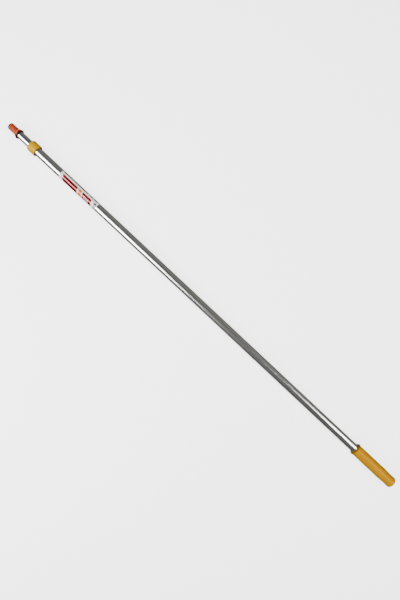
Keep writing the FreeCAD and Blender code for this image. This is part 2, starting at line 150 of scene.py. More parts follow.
LABEL_WRAP = math.radians(344)
FILM_LENGTH = LABEL_FRONT - LABEL_REAR
FILM_WIDTH = LABEL_WRAP * LABEL_RADIUS


# ---------------------------------------------------------------- shapes

def rounded_outline(corners, steps=6):
    """Points along an outline of (place, radius, rounding) corners.

    A rounded corner is an arc tangent to both of its edges. Its centre lies on the line that halves
    the corner, at rounding / sin(half angle), and the arc turns evenly from one edge to the other. A
    further point a tenth of the rounding outside each end of the arc keeps the shading of the long
    faces flat.
    """
    points = np.array([corner[:2] for corner in corners], float)
    pieces = []
    for index, (_, _, rounding) in enumerate(corners):
        here = points[index]
        if rounding == 0 or index in (0, len(corners) - 1):
            pieces.append(here[None])
            continue
        back = points[index - 1] - here
        ahead = points[index + 1] - here
        back /= np.linalg.norm(back)
        ahead /= np.linalg.norm(ahead)
        half = math.acos(np.clip(back @ ahead, -1, 1)) / 2
        cut = rounding / math.tan(half)
        middle = (back + ahead) / np.linalg.norm(back + ahead)
        centre = here + middle * rounding / math.sin(half)
        first = here + back * cut - centre
        last = here + ahead * cut - centre
        turn = math.pi - 2 * half
        share = np.linspace(0, 1, steps + 1)[:, None]
        arc = centre + (np.sin((1 - share) * turn) * first + np.sin(share * turn) * last) / math.sin(turn)
        support = 0.1 * rounding
        pieces += [(here + back * (cut + support))[None], arc, (here + ahead * (cut + support))[None]]
    return np.concatenate(pieces)


def refined(points, step):
    """The same outline with more points, none further than step from the next, for later shaping."""
    lengths = np.concatenate([[0], np.cumsum(np.linalg.norm(np.diff(points, axis=0), axis=1))])
    places = np.union1d(lengths, np.arange(0, lengths[-1], step))
    return np.stack([np.interp(places, lengths, points[:, axis]) for axis in (0, 1)], axis=1)


def smooth_step(value):
    """A ramp from 0 to 1 that starts and ends level: 3 t squared minus 2 t cubed."""
    share = np.clip(value, 0, 1)
    return share * share * (3 - 2 * share)


def along_pole(along, level, across):
    """Turned coordinates laid on the pole's own axis."""
    return np.stack([along, level, AXIS_HEIGHT + across], axis=-1)


def grid_quads(rows, columns, close_rows, close_columns):
    """Corner numbers of the squares of a grid of points, joined round on itself where it closes."""
    row = np.arange(rows if close_rows else rows - 1)[:, None]
    column = np.arange(columns if close_columns else columns - 1)[None, :]
    next_row = (row + 1) % rows
    next_column = (column + 1) % columns
    quads = [row * columns + column, row * columns + next_column,
             next_row * columns + next_column, next_row * columns + column]
    return np.stack(np.broadcast_arrays(*quads), axis=-1).reshape(-1, 4)


def volume_of(points, quads, triangles):
    """Signed volume inside a closed surface: a sixth of the sum of its triangles' triple products."""
    corners = points[np.concatenate([quads[:, [0, 1, 2]], quads[:, [0, 2, 3]], triangles])]
    return np.einsum("ij,ij->", corners[:, 0], np.cross(corners[:, 1], corners[:, 2])) / 6


def new_piece(name, points, quads, triangles=NO_TRIANGLES, mask=None):
    """A smooth-shaded object from arrays of points and faces, with a mask on its points if given.

    Faces that all look inwards make the volume negative, and are turned round.
    """
    if volume_of(points, quads, triangles) < 0:
        quads = quads[:, ::-1]
        triangles = triangles[:, ::-1]
    mesh = bpy.data.meshes.new(name)
    mesh.from_pydata(points.tolist(), [], quads.tolist() + triangles.tolist())
    mesh.polygons.foreach_set("use_smooth", np.ones(len(mesh.polygons), bool))
    if mask is not None:
        # the mask on the points is painted shade, which the piece's finish lays over its colour
        mesh.attributes.new("painted_shade", "FLOAT", "POINT").data.foreach_set("value", mask.astype(np.float32))
    mesh.update()
    piece = bpy.data.objects.new(name, mesh)
    bpy.context.collection.objects.link(piece)
    return piece


def turned(name, outline, radii=None, place=along_pole, around=AROUND, mask=None):
    """Turn an outline about an axis.

    A point is (a, r cos v, r sin v) for the outline's place a and radius r and the angle v. radii,
    if given, is a grid of radii over place and angle in place of the outline's own, and mask is a
    grid of the same kind that goes with the points. An outline that begins and ends on the axis
    makes a solid, closed at each pole by a fan of triangles, and any other makes a ring.
    """
    angles = np.arange(around) * 2 * math.pi / around
    along = outline[:, :1] + 0 * angles
    radius = outline[:, 1:] + 0 * angles if radii is None else radii
    points = place(along, radius * np.cos(angles), radius * np.sin(angles)).reshape(-1, 3)
    values = None if mask is None else mask.ravel()
    if outline[0, 1] > 0:
        return new_piece(name, points, grid_quads(len(outline), around, True, True), mask=values)
    # the first and the last row lie on the axis, so one point of each is kept as a pole
    kept = slice(around - 1, len(points) - around + 1)
    rows = len(outline) - 2
    quads = grid_quads(rows, around, False, True) + 1
    here = np.arange(around)
    after = (here + 1) % around
    last = 1 + (rows - 1) * around
    rear_fan = np.stack([np.zeros_like(here), 1 + after, 1 + here], axis=1)
    front_fan = np.stack([np.full_like(here, rows * around + 1), last + here, last + after], axis=1)
    fans = np.concatenate([rear_fan, front_fan])
    return new_piece(name, points[kept], quads, fans, None if mask is None else values[kept])


def thread_ridge(along, angle):
    """Height from 0 to 1 of the tip's right-hand ridge, which has a flat crest and sloping flanks.

    The helix is unwound by one pitch for each turn, so the place along the pole gives a count of
    turns from the first crest on top of the pole. The share left over the nearest whole turn, times
    the pitch, is how far the point lies from the middle of the crest.
    """
    turns = (along - (TIP_FRONT - FIRST_CREST)) / THREAD_PITCH - angle / (2 * math.pi) + 0.25
    from_crest = np.abs(turns - np.round(turns)) * THREAD_PITCH
    return smooth_step((THREAD_CREST / 2 + THREAD_FLANK - from_crest) / THREAD_FLANK)


def wrapped_film(name, front, rear, inner, outer, wrap, columns=220, rows=64):
    """A thin film wrapped round the pole, with its seam underneath and a print map.

    The outer face is a grid over the length and the wrap angle, the inner face is the same grid at
    the smaller radius, and strips join them at all four edges. The map runs from 0 at the front to 1
    at the rear, and from 0 at one seam edge to 1 at the other.
    """
    share_along = np.linspace(0, 1, rows)
    share_round = np.linspace(0, 1, columns)
    angle = math.pi / 2 + (share_round - 0.5) * wrap
    along = front + (rear - front) * share_along[:, None] + 0 * angle
    sheets = [along_pole(along, radius * np.cos(angle) + 0 * along, radius * np.sin(angle) + 0 * along)
              for radius in (outer, inner)]
    count = rows * columns
    sheet_quads = grid_quads(rows, columns, False, False)
    grid = np.arange(count).reshape(rows, columns)
    rim = np.concatenate([grid[0, :-1], grid[:-1, -1], grid[-1, :0:-1], grid[:0:-1, 0]])
    after = np.roll(rim, -1)
    edge_quads = np.stack([after, rim, rim + count, after + count], axis=1)
    quads = np.concatenate([sheet_quads, sheet_quads[:, ::-1] + count, edge_quads])
    piece = new_piece(name, np.concatenate(sheets).reshape(-1, 3), quads)
    u, v = np.broadcast_arrays(share_along[:, None], share_round[None, :])
    shares = np.tile(np.stack([u, v], axis=-1).reshape(-1, 2), (2, 1))
    corner_points = np.empty(len(piece.data.loops), np.int32)
    piece.data.loops.foreach_get("vertex_index", corner_points)
    print_map = piece.data.uv_layers.new(name="print")
    print_map.uv.foreach_set("vector", shares[corner_points].astype(np.float32).ravel())
    return piece


# ---------------------------------------------------------------- pieces

def finished(piece, body, material, node):
    """Give a piece its material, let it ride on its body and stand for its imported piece."""
    piece.data.materials.append(material)
    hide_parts(node)
    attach(piece, body)
    return piece


def make_tip():
    """The moulded tip: spigot, socket, hollow skirt, a bell-shaped flare and the helical thread.

    The flare's radius falls from the skirt's to the thread's with a power of the share of its length.
    The thread is cut into its own major cylinder: the radius is the smaller of the outline's and
    root + depth * ridge, and the cut fades out over a short way at the flare. The mask on the points
    is painted shade, the largest of three: the cut's share of the thread's depth, which darkens the
    thread's roots, a ramp up to its peak at the nose, and a ramp up to its peak at the skirt's rim.
    """
    thread_rear = TIP_FRONT - THREAD_LENGTH
    skirt_front = thread_rear - FLARE_LENGTH
    skirt_rear = skirt_front - SKIRT_LENGTH
    hollow_floor = skirt_rear + SKIRT_HOLLOW
    lip_bore = SKIRT_RADIUS - SKIRT_LIP
    rear = rounded_outline([
        (TIP_REAR, 0, 0),
        (TIP_REAR, SPIGOT_RADIUS, SKIRT_EDGE),
        (INNER_FRONT, SPIGOT_RADIUS, 0),
        (INNER_FRONT, INNER_RADIUS, 0),
        (hollow_floor, INNER_RADIUS, 0),
        (hollow_floor, lip_bore, HOLLOW_ROUND),
        (skirt_rear, lip_bore, SKIRT_EDGE),
        (skirt_rear, SKIRT_RADIUS, SKIRT_EDGE),
        (skirt_front, SKIRT_RADIUS, 0),
    ])
    share = np.linspace(0, 1, FLARE_ROWS)[1:]
    flare_along = skirt_front + FLARE_LENGTH * share
    flare_radius = THREAD_RADIUS + (SKIRT_RADIUS - THREAD_RADIUS) * (1 - share ** FLARE_BEND)
    flare = np.stack([flare_along, flare_radius], axis=1)
    front = rounded_outline([
        (thread_rear + FLARE_GAP, THREAD_RADIUS, 0),
        (TIP_FRONT, THREAD_RADIUS, NOSE_ROUND),
        (TIP_FRONT, GATE_RADIUS, GATE_EDGE),
        (TIP_FRONT - GATE_DEPTH, GATE_RADIUS * GATE_TAPER, GATE_EDGE),
        (TIP_FRONT - GATE_DEPTH, 0, 0),
    ], steps=10)
    outline = np.concatenate([rear, flare, refined(front, THREAD_ROW)])
    place, radius = outline[:, :1], outline[:, 1:]
    angles = np.arange(AROUND) * 2 * math.pi / AROUND
    ridge = thread_ridge(place, angles)
    reach = smooth_step((place - thread_rear) / THREAD_FADE)
    cut = reach * (radius - np.minimum(radius, THREAD_RADIUS - THREAD_DEPTH * (1 - ridge)))
    # Painted shade: the thread's roots by the cut, and ramps at the nose and at the skirt's rim.
    nose = NOSE_SHADE_PEAK * smooth_step((place - TIP_FRONT + NOSE_SHADE_LENGTH) / NOSE_SHADE_LENGTH)
    rim = RIM_SHADE_PEAK * smooth_step((skirt_rear + RIM_SHADE_LENGTH - place) / (RIM_SHADE_LENGTH / 2))
    painted_shade = np.maximum(cut / THREAD_DEPTH, np.maximum(nose, rim))
    piece = turned("tip_moulding", outline, radius - cut, mask=painted_shade)
    return finished(piece, "inner_section", tip_plastic, "thread_tip")


def make_tube(name, rear, front, outer, inner, body, finish, node):
    """A drawn tube: a long ring whose section is a thin wall with just-broken edges."""
    middle = (outer + inner) / 2
    outline = rounded_outline([
        (rear, middle, 0), (rear, outer, TUBE_EDGE), (front, outer, TUBE_EDGE),
        (front, inner, TUBE_EDGE), (rear, inner, TUBE_EDGE), (rear, middle, 0),
    ], steps=3)[:-1]
    return finished(turned(name, outline), body, finish, node)


def make_collar():
    """The lock collar: a plain barrel with a rounded nose, and the tapered seat inside it.

    The seat is a straight cone, so it begins and ends where its slope meets the two bores.
    """
    seat_rear = SEAT_FRONT - (COLLAR_BORE - SEAT_THROAT) / SEAT_SLOPE
    seat_end = SEAT_FRONT + (SEAT_THROAT - COLLAR_NOSE_BORE) / SEAT_SLOPE
    middle = (COLLAR_BORE + COLLAR_RADIUS) / 2
    outline = rounded_outline([
        (COLLAR_REAR, middle, 0),
        (COLLAR_REAR, COLLAR_BORE, COLLAR_EDGE),
        (seat_rear, COLLAR_BORE, COLLAR_EDGE),
        (seat_end, COLLAR_NOSE_BORE, COLLAR_EDGE),
        (COLLAR_FRONT, COLLAR_NOSE_BORE, COLLAR_EDGE),
        (COLLAR_FRONT, COLLAR_RADIUS, COLLAR_NOSE_ROUND),
        (COLLAR_REAR, COLLAR_RADIUS, COLLAR_REAR_ROUND),
        (COLLAR_REAR, middle, 0),
    ], steps=10)[:-1]
    piece = turned("collar_barrel", outline)
    return finished(piece, "collar", collar_plastic, "lock_collar")


def grip_radius(along):
    """The handle's radius: a slight taper at the front and a shallow smooth waist near the end.

    The waist is a bell, one minus the square of the share of its reach, squared, and the end behind
    it is a little slimmer than the handle.
    """
    from_rear = along - GRIP_REAR
    from_flange = GRIP_FRONT - FLANGE_LENGTH - along
    taper = (HANDLE_RADIUS - HANDLE_FRONT_RADIUS) * (1 - smooth_step(from_flange / HANDLE_TAPER))
    bell = np.clip(1 - ((from_rear - WAIST_PLACE) / WAIST_REACH) ** 2, 0, 1) ** 2
    step = END_STEP * (1 - smooth_step((from_rear - WAIST_PLACE + WAIST_REACH) / (2 * WAIST_REACH)))
    return HANDLE_RADIUS - taper - step - (WAIST_DEPTH - END_STEP / 2) * bell


def make_grip():
    """The grip: closed rounded end, handle with its waist, and the beaded flange at the front.

    The handle's rows lie on grip_radius, between the end's arc and the flange's. The mask on the points
    is painted shade on the flange: it rises with the place along the pole, up to its peak at the
    flange's front.
    """
    flange_rear = GRIP_FRONT - FLANGE_LENGTH
    end_radius = float(grip_radius(GRIP_REAR + END_ROUND))
    neck_radius = float(grip_radius(flange_rear))
    handle_rear = GRIP_REAR + END_REACH
    end = rounded_outline([
        (GRIP_REAR, 0, 0),
        (GRIP_REAR, end_radius, END_ROUND),
        (handle_rear, end_radius, 0),
    ], steps=14)[:-1]
    places = np.arange(handle_rear, flange_rear - NECK_CLEARANCE, HANDLE_ROW)
    handle = np.stack([places, grip_radius(places)], axis=1)
    rear_bead = FLANGE_REAR_BEAD * min(FLANGE_BEAD, FLANGE_RADIUS - neck_radius)
    flange = rounded_outline([
        (flange_rear - NECK_REACH, neck_radius, 0),
        (flange_rear, neck_radius, FLANGE_NECK),
        (flange_rear, FLANGE_RADIUS, rear_bead),
        (GRIP_FRONT, FLANGE_RADIUS, FLANGE_BEAD),
        (GRIP_FRONT, OUTER_RADIUS, BORE_EDGE),
        (OUTER_REAR, OUTER_RADIUS, BORE_EDGE),
        (OUTER_REAR, 0, 0),
    ], steps=10)
    outline = np.concatenate([end, handle, flange])
    # Painted shade, rising towards the flange's front face.
    rise = smooth_step((outline[:, :1] - GRIP_FRONT + FLANGE_SHADE_LENGTH) / FLANGE_SHADE_LENGTH)
    painted_shade = np.broadcast_to(FLANGE_SHADE_PEAK * rise, (len(outline), AROUND))
    piece = turned("grip_moulding", outline, mask=painted_shade)
    return finished(piece, "outer_section", grip_plastic, "grip")


def make_label():
    """The printed film round the outer tube."""
    piece = wrapped_film("label_film", LABEL_FRONT, LABEL_REAR, OUTER_RADIUS, LABEL_RADIUS, LABEL_WRAP)
    return finished(piece, "outer_section", printed_film, "label")


def make_rivet():
    """The tip's rivet: a shank and, below, a low domed head, turned about its own upright axis."""
    low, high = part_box("tip_rivet")
    seat = AXIS_HEIGHT - INNER_RADIUS
    middle = (low.x + high.x) / 2
    head_radius = (high.x - low.x) / 2

    def upright(along, level, across):
        """Turned coordinates laid on the rivet's own axis, which runs straight down."""
        return np.stack([middle + across, level, -along], axis=-1)

    outline = rounded_outline([
        (-high.z, 0, 0),
        (-high.z, RIVET_SHANK, RIVET_SHANK_ROUND),
        (-seat, RIVET_SHANK, 0),
        (-seat, head_radius, RIVET_EDGE),
        (-low.z - RIVET_RIM, head_radius, RIVET_EDGE),
        (-low.z, RIVET_CROWN * head_radius, RIVET_DOME),
        (-low.z, 0, 0),
    ])
    piece = turned("rivet_dome", outline, place=upright, around=RIVET_AROUND)
    return finished(piece, "inner_section", rivet_metal, "tip_rivet")


# ---------------------------------------------------------------- shader groups

MOTTLE_COARSENESS = 30.0
BAND_COARSENESS = 8.0
SPECK_FINENESS = 14.0
SCUFF_EDGE = 0.85
SCUFF_EDGE_DROP = 0.5
SCUFF_SOFTNESS = 0.18
PRINT_EDGE = 0.0002


def add_node(tree, kind, **settings):
    """A shader node with some of its properties set."""
    node = tree.nodes.new(kind)
    for name, value in settings.items():
        setattr(node, name, value)
    return node


def connect(tree, source, socket):
    """Link a socket to another one, or set it where the source is a value."""
    if isinstance(source, bpy.types.NodeSocket):
        tree.links.new(source, socket)
    else:
        socket.default_value = source


def feed(tree, node, **sources):
    """Fill a node's inputs by name, with underscores for spaces."""
    for name, source in sources.items():
        connect(tree, source, node.inputs[name.replace("_", " ")])
    return node


def calculate(tree, operation, *values):
    """A math node on sockets or numbers. Returns its output."""
    node = add_node(tree, "ShaderNodeMath", operation=operation)
    for socket, value in zip(node.inputs, values):
        connect(tree, value, socket)
    return node.outputs[0]


def ramp(tree, value, low, high):
    """A smooth change from 0 to 1 as the value goes from low to high."""
    node = add_node(tree, "ShaderNodeMapRange", interpolation_type="SMOOTHSTEP")
    feed(tree, node, Value=value, From_Min=low, From_Max=high, To_Min=0.0, To_Max=1.0)
    return node.outputs["Result"]


def blend_colours(tree, factor, first, second):
    """The mix of two colours by a mask. Inputs 6 and 7 and output 2 are the node's colour sockets."""
    node = add_node(tree, "ShaderNodeMix", data_type="RGBA")
    for index, value in ((0, factor), (6, first), (7, second)):
        connect(tree, value, node.inputs[index])
    return node.outputs[2]


def new_group(name, inputs, outputs):
    """An empty shader group with named number inputs and outputs."""
    group = bpy.data.node_groups.new(name, "ShaderNodeTree")
    for label, value in inputs.items():
        socket = group.interface.new_socket(name=label, in_out="INPUT", socket_type="NodeSocketFloat")
        socket.default_value = value
    for label in outputs:
        group.interface.new_socket(name=label, in_out="OUTPUT", socket_type="NodeSocketFloat")
    return group, group.nodes.new("NodeGroupInput"), group.nodes.new("NodeGroupOutput")


def noise(tree, vector, scale, detail=3.0, roughness=0.5):
    """A noise texture's value."""
    node = add_node(tree, "ShaderNodeTexNoise")
    feed(tree, node, Vector=vector, Scale=scale, Detail=detail, Roughness=roughness)
    return node.outputs["Fac"]


def object_place(tree):
    """The point on the piece, in the piece's own coordinates."""
    return add_node(tree, "ShaderNodeTexCoord").outputs["Object"]


def fineness_of(tree, size):
    """The scale of a texture whose marks are of the given size."""
    return calculate(tree, "DIVIDE", 1.0, size)


def make_grain_group():
    """Fine surface grain of the given size, and a mottle that is MOTTLE_COARSENESS times coarser."""
    tree, given, result = new_group("moulded_grain", {"Size": 0.0006}, ["Grain", "Mottle"])
    place = object_place(tree)
    fineness = fineness_of(tree, given.outputs["Size"])
    tree.links.new(noise(tree, place, fineness, 2.0), result.inputs["Grain"])
    coarse = calculate(tree, "DIVIDE", fineness, MOTTLE_COARSENESS)
    tree.links.new(noise(tree, place, coarse, 4.0), result.inputs["Mottle"])
    return tree


def make_drawn_group():
    """Lines drawn out along the pole: noise that is stretched by Stretch along X.

    Bands are noise that is stretched alike and is BAND_COARSENESS times coarser.
    """
    sizes = {"Spacing": 0.0008, "Stretch": 200.0}
    tree, given, result = new_group("drawn_lines", sizes, ["Lines", "Bands"])
    place = object_place(tree)
    squeeze = add_node(tree, "ShaderNodeCombineXYZ")
    feed(tree, squeeze, X=calculate(tree, "DIVIDE", 1.0, given.outputs["Stretch"]), Y=1.0, Z=1.0)
    stretched = add_node(tree, "ShaderNodeVectorMath", operation="MULTIPLY")
    tree.links.new(place, stretched.inputs[0])
    tree.links.new(squeeze.outputs[0], stretched.inputs[1])
    fineness = fineness_of(tree, given.outputs["Spacing"])
    tree.links.new(noise(tree, stretched.outputs[0], fineness, 3.0, 0.6), result.inputs["Lines"])
    coarse = calculate(tree, "DIVIDE", fineness, BAND_COARSENESS)
    tree.links.new(noise(tree, stretched.outputs[0], coarse, 2.0), result.inputs["Bands"])
    return tree


def make_scuff_group():
    """Patches of light rubbing: coarse noise picks the places and finer specks break them up.

    A larger Amount lowers the edge above which the coarse noise counts as rubbed.
    """
    tree, given, result = new_group("handling_scuffs", {"Size": 0.01, "Amount": 0.4}, ["Mask"])
    place = object_place(tree)
    fineness = fineness_of(tree, given.outputs["Size"])
    patches = noise(tree, place, fineness, 4.0, 0.65)
    specks = noise(tree, place, calculate(tree, "MULTIPLY", fineness, SPECK_FINENESS), 2.0)
    drop = calculate(tree, "MULTIPLY", given.outputs["Amount"], SCUFF_EDGE_DROP)
    edge = calculate(tree, "SUBTRACT", SCUFF_EDGE, drop)
    worn = ramp(tree, patches, edge, calculate(tree, "ADD", edge, SCUFF_SOFTNESS))
    broken = ramp(tree, specks, 0.35, 0.65)
    tree.links.new(calculate(tree, "MULTIPLY", worn, broken), result.inputs["Mask"])
    return tree


def make_panel_group():
    """A printed panel on a film's map: 1 between Start and End and between Lower and Upper.

    Slant leans the two ends, so that they move along by Slant for each unit across.
    """
    sizes = {"Along": 0.0, "Across": 0.0, "Start": 0.0, "End": 1.0, "Lower": 0.0, "Upper": 1.0,
             "Slant": 0.0}
    tree, given, result = new_group("printed_panel", sizes, ["Mask"])
    lean = calculate(tree, "MULTIPLY", given.outputs["Slant"], given.outputs["Across"])
    along = calculate(tree, "SUBTRACT", given.outputs["Along"], lean)
    mask = 1.0
    for value, low, high in ((along, "Start", "End"), (given.outputs["Across"], "Lower", "Upper")):
        for name, inward in ((low, 1), (high, -1)):
            limit = given.outputs[name]
            beyond = calculate(tree, "MULTIPLY", calculate(tree, "SUBTRACT", value, limit), inward)
            mask = calculate(tree, "MULTIPLY", mask, ramp(tree, beyond, -PRINT_EDGE, PRINT_EDGE))
    tree.links.new(mask, result.inputs["Mask"])
    return tree


GRAIN = make_grain_group()
DRAWN = make_drawn_group()
SCUFFS = make_scuff_group()
PANEL = make_panel_group()


# ---------------------------------------------------------------- finishes

def new_finish(name, **constants):
    """A material whose shader has the given constants set straight on its sockets."""
    material = bpy.data.materials.new(name)
    material.use_nodes = True
    tree = material.node_tree
    shader = tree.nodes["Principled BSDF"]
    feed(tree, shader, **constants)
    return material, tree, shader


def use_group(tree, group, **values):
    """A copy of a shared group in a material, with its own values."""
    node = add_node(tree, "ShaderNodeGroup", node_tree=group)
    return feed(tree, node, **values)


def raise_surface(tree, shader, height, depth):
    """Bump the surface by a height of the given depth in metres."""
    bump = add_node(tree, "ShaderNodeBump")
    feed(tree, bump, Strength=1.0, Distance=depth, Height=height)
    tree.links.new(bump.outputs["Normal"], shader.inputs["Normal"])


def colour(red, green, blue):
    """A colour with full cover."""
    return (red, green, blue, 1.0)


def shade(body, share):
    """A colour's parts times a share, with full cover."""
    return colour(*(part * share for part in body))


def mottled(tree, grain):
    """The mottle of a grain group with its middle tones drawn apart."""
    return ramp(tree, grain.outputs["Mottle"], 0.3, 0.7)


def varied_roughness(tree, shader, base, mask, amount, scuffs=None, dulling=0.0):
    """Roughness that rises from its base by amount times a mask, and by dulling times the scuffs."""
    spread = calculate(tree, "ADD", base, calculate(tree, "MULTIPLY", mask, amount))
    if scuffs is not None:
        spread = calculate(tree, "ADD", spread, calculate(tree, "MULTIPLY", scuffs, dulling))
    tree.links.new(spread, shader.inputs["Roughness"])


def with_painted_shade(tree, tint, thin, thick):
    """A colour darkened by painted shade from the piece's mask: to the thin shade colour by a mask of
    0.6, and to the thick one by 1.9.
    """
    cover = add_node(tree, "ShaderNodeAttribute", attribute_name="painted_shade").outputs["Fac"]
    half_shaded = blend_colours(tree, ramp(tree, cover, 0.05, 0.6), tint, colour(*thin))
    return blend_colours(tree, ramp(tree, cover, 0.9, 1.9), half_shaded, colour(*thick))


def moulded_plastic(name, body, rubbed, roughness, grain_size, grain_depth, scuff_amount=0.3,
                    gloss=0.5, gloss_tint=(1, 1, 1), painted_shade=None):
    """Moulded plastic: fine grain, a faint mottle in the colour, and paler, duller rubbed patches.

    The last argument, if given, is the pair of colours of painted shade that the piece's mask lays over
    it.
    """
    material, tree, shader = new_finish(name, IOR=1.47, Specular_IOR_Level=gloss,
                                        Specular_Tint=colour(*gloss_tint))
    grain = use_group(tree, GRAIN, Size=grain_size)
    scuffs = use_group(tree, SCUFFS, Size=0.012, Amount=scuff_amount).outputs["Mask"]
    mottle = mottled(tree, grain)
    tint = blend_colours(tree, mottle, shade(body, 0.9), colour(*body))
    worn = blend_colours(tree, scuffs, tint, colour(*rubbed))
    # painted shade from the piece's mask, over the worn colour
    if painted_shade:
        worn = with_painted_shade(tree, worn, *painted_shade)
    tree.links.new(worn, shader.inputs["Base Color"])
    varied_roughness(tree, shader, roughness, mottle, 0.06, scuffs, 0.2)
    raise_surface(tree, shader, grain.outputs["Grain"], grain_depth)
    return material


def drawn_metal(name, body, roughness, line_depth, scuff_amount):
    """Drawn aluminium: lines along the pole, faint bands of tone, and duller handled patches."""
    material, tree, shader = new_finish(name, Metallic=1.0)
    lines = use_group(tree, DRAWN, Spacing=0.0007, Stretch=260.0)
    scuffs = use_group(tree, SCUFFS, Size=0.03, Amount=scuff_amount).outputs["Mask"]
    bands = ramp(tree, lines.outputs["Bands"], 0.3, 0.7)
    tint = blend_colours(tree, bands, shade(body, 0.93), colour(*body))
    handled = blend_colours(tree, scuffs, tint, shade(body, 0.86))
    tree.links.new(handled, shader.inputs["Base Color"])
    varied_roughness(tree, shader, roughness, lines.outputs["Lines"], 0.08, scuffs, 0.12)
    raise_surface(tree, shader, lines.outputs["Lines"], line_depth)
    return material


def plain_metal(name, body, roughness):
    """Small metal parts: a faint even grain in tone and gloss."""
    material, tree, shader = new_finish(name, Metallic=1.0)
    grain = use_group(tree, GRAIN, Size=0.0004)
    tint = blend_colours(tree, mottled(tree, grain), shade(body, 0.8), colour(*body))
    tree.links.new(tint, shader.inputs["Base Color"])
    varied_roughness(tree, shader, roughness, grain.outputs["Grain"], 0.15)
    raise_surface(tree, shader, grain.outputs["Grain"], 0.00001)
    return material


def make_printed_film():
    """The label's film: white, with red and orange panels, dark rules at its rear and grey rules.

    Places on the print are in metres, from the film's front edge and from its middle, which is the
    top of the pole. The panels and the dark rules run down the near side, +Y, where a Slant leans
    them, and the grey rules are on the far side, -Y.
    """
    material, tree, shader = new_finish("printed_film", IOR=1.46, Specular_IOR_Level=0.7,
                                        Specular_Tint=colour(1.0, 0.7, 0.7))
    film_map = add_node(tree, "ShaderNodeUVMap", uv_map="print")
    parts = add_node(tree, "ShaderNodeSeparateXYZ")
    feed(tree, parts, Vector=film_map.outputs[0])
    along = calculate(tree, "MULTIPLY", parts.outputs["X"], FILM_LENGTH)
    from_middle = calculate(tree, "SUBTRACT", 0.5, parts.outputs["Y"])
    across = calculate(tree, "MULTIPLY", from_middle, FILM_WIDTH)
    red = colour(0.15, 0.001, 0.003)
    orange = colour(0.7, 0.15, 0.002)
    grey = colour(0.16, 0.165, 0.155)
    dark = colour(0.1, 0.09, 0.09)
    white = colour(0.9, 0.895, 0.88)
    near_side = {"Lower": -0.0034, "Upper": 0.0170, "Slant": 0.35}
    bar_side = {"Lower": 0.0040, "Upper": 0.0170, "Slant": 0.35}
    rule_side = {"Lower": -0.0034, "Upper": 0.0008, "Slant": 0.35}
    leg_side = {"Lower": 0.0008, "Upper": 0.0170, "Slant": 0.35}
    far_side = {"Lower": -0.0140, "Upper": -0.0078, "Slant": 0.0}
    panels = [
        (red, 0.009, 0.060, near_side),
        (orange, 0.063, 0.074, near_side),
        (red, 0.077, 0.107, near_side),
        (white, 0.083, 0.085, bar_side),
        (white, 0.089, 0.091, bar_side),
        (white, 0.095, 0.097, bar_side),
        (dark, 0.1165, 0.1245, rule_side),
        (dark, 0.1165, 0.1200, leg_side),
        (dark, 0.1228, 0.1250, leg_side),
        (grey, 0.004, 0.088, far_side),
        (grey, 0.092, 0.104, far_side),
        (grey, 0.108, 0.120, far_side),
    ]
    paper = use_group(tree, GRAIN, Size=0.0012)
    print_colour = blend_colours(tree, mottled(tree, paper), colour(0.87, 0.865, 0.85), white)
    for ink, start, end, side in panels:
        panel = use_group(tree, PANEL, Along=along, Across=across, Start=start, End=end, **side)
        print_colour = blend_colours(tree, panel.outputs["Mask"], print_colour, ink)
    scuffs = use_group(tree, SCUFFS, Size=0.006, Amount=0.25).outputs["Mask"]
    scuffed = blend_colours(tree, scuffs, print_colour, colour(0.7, 0.69, 0.67))
    tree.links.new(scuffed, shader.inputs["Base Color"])
    varied_roughness(tree, shader, 0.08, scuffs, 0.25)
    raise_surface(tree, shader, paper.outputs["Mottle"], 0.000004)
    return material


# tip_plastic's last pair of colours is painted shade for the thread's roots, the nose and the skirt's
# rim.
tip_plastic = moulded_plastic(
    "tip_plastic", body=(0.68, 0.085, 0.028), rubbed=(0.68, 0.14, 0.06), roughness=0.34,
    grain_size=0.0009, grain_depth=0.000012, scuff_amount=0.2, gloss=0.32, gloss_tint=(1, 0.42, 0.26),
    painted_shade=((0.03, 0.003, 0.002), (0.035, 0.018, 0.008)))
collar_plastic = moulded_plastic(
    "collar_plastic", body=(0.56, 0.305, 0.001), rubbed=(0.57, 0.32, 0.008), roughness=0.26,
    grain_size=0.0012, grain_depth=0.00001, scuff_amount=0.2, gloss=0.3, gloss_tint=(1, 0.35, 0))
# grip_plastic's last pair of colours is painted shade for the flange's front.
grip_plastic = moulded_plastic(
    "grip_plastic", body=(0.57, 0.255, 0.0005), rubbed=(0.58, 0.28, 0.004), roughness=0.4,
    grain_size=0.0007, grain_depth=0.00003, scuff_amount=0.2, gloss=0.3, gloss_tint=(1, 0.35, 0),
    painted_shade=((0.3, 0.15, 0.004), (0.1, 0.06, 0.004)))
white_nylon = moulded_plastic(
    "white_nylon", body=(0.78, 0.77, 0.72), rubbed=(0.85, 0.84, 0.8), roughness=0.42,
    grain_size=0.0008, grain_depth=0.00001)
black_nylon = moulded_plastic(
    "black_nylon", body=(0.02, 0.02, 0.022), rubbed=(0.09, 0.09, 0.09), roughness=0.4,
    grain_size=0.0008, grain_depth=0.00001)
black_rubber = moulded_plastic(
    "black_rubber", body=(0.015, 0.015, 0.015), rubbed=(0.06, 0.06, 0.06), roughness=0.75,
    grain_size=0.0005, grain_depth=0.00004, scuff_amount=0.4)
outer_metal = drawn_metal(
    "outer_metal", body=(0.86, 0.855, 0.84), roughness=0.20, line_depth=0.000004, scuff_amount=0.3)
inner_metal = drawn_metal(
    "inner_metal", body=(0.87, 0.87, 0.865), roughness=0.17, line_depth=0.000004, scuff_amount=0.45)
rivet_metal = plain_metal("rivet_metal", body=(0.75, 0.75, 0.75), roughness=0.28)
steel = plain_metal("zinc_steel", body=(0.58, 0.58, 0.6), roughness=0.3)
printed_film = make_printed_film()

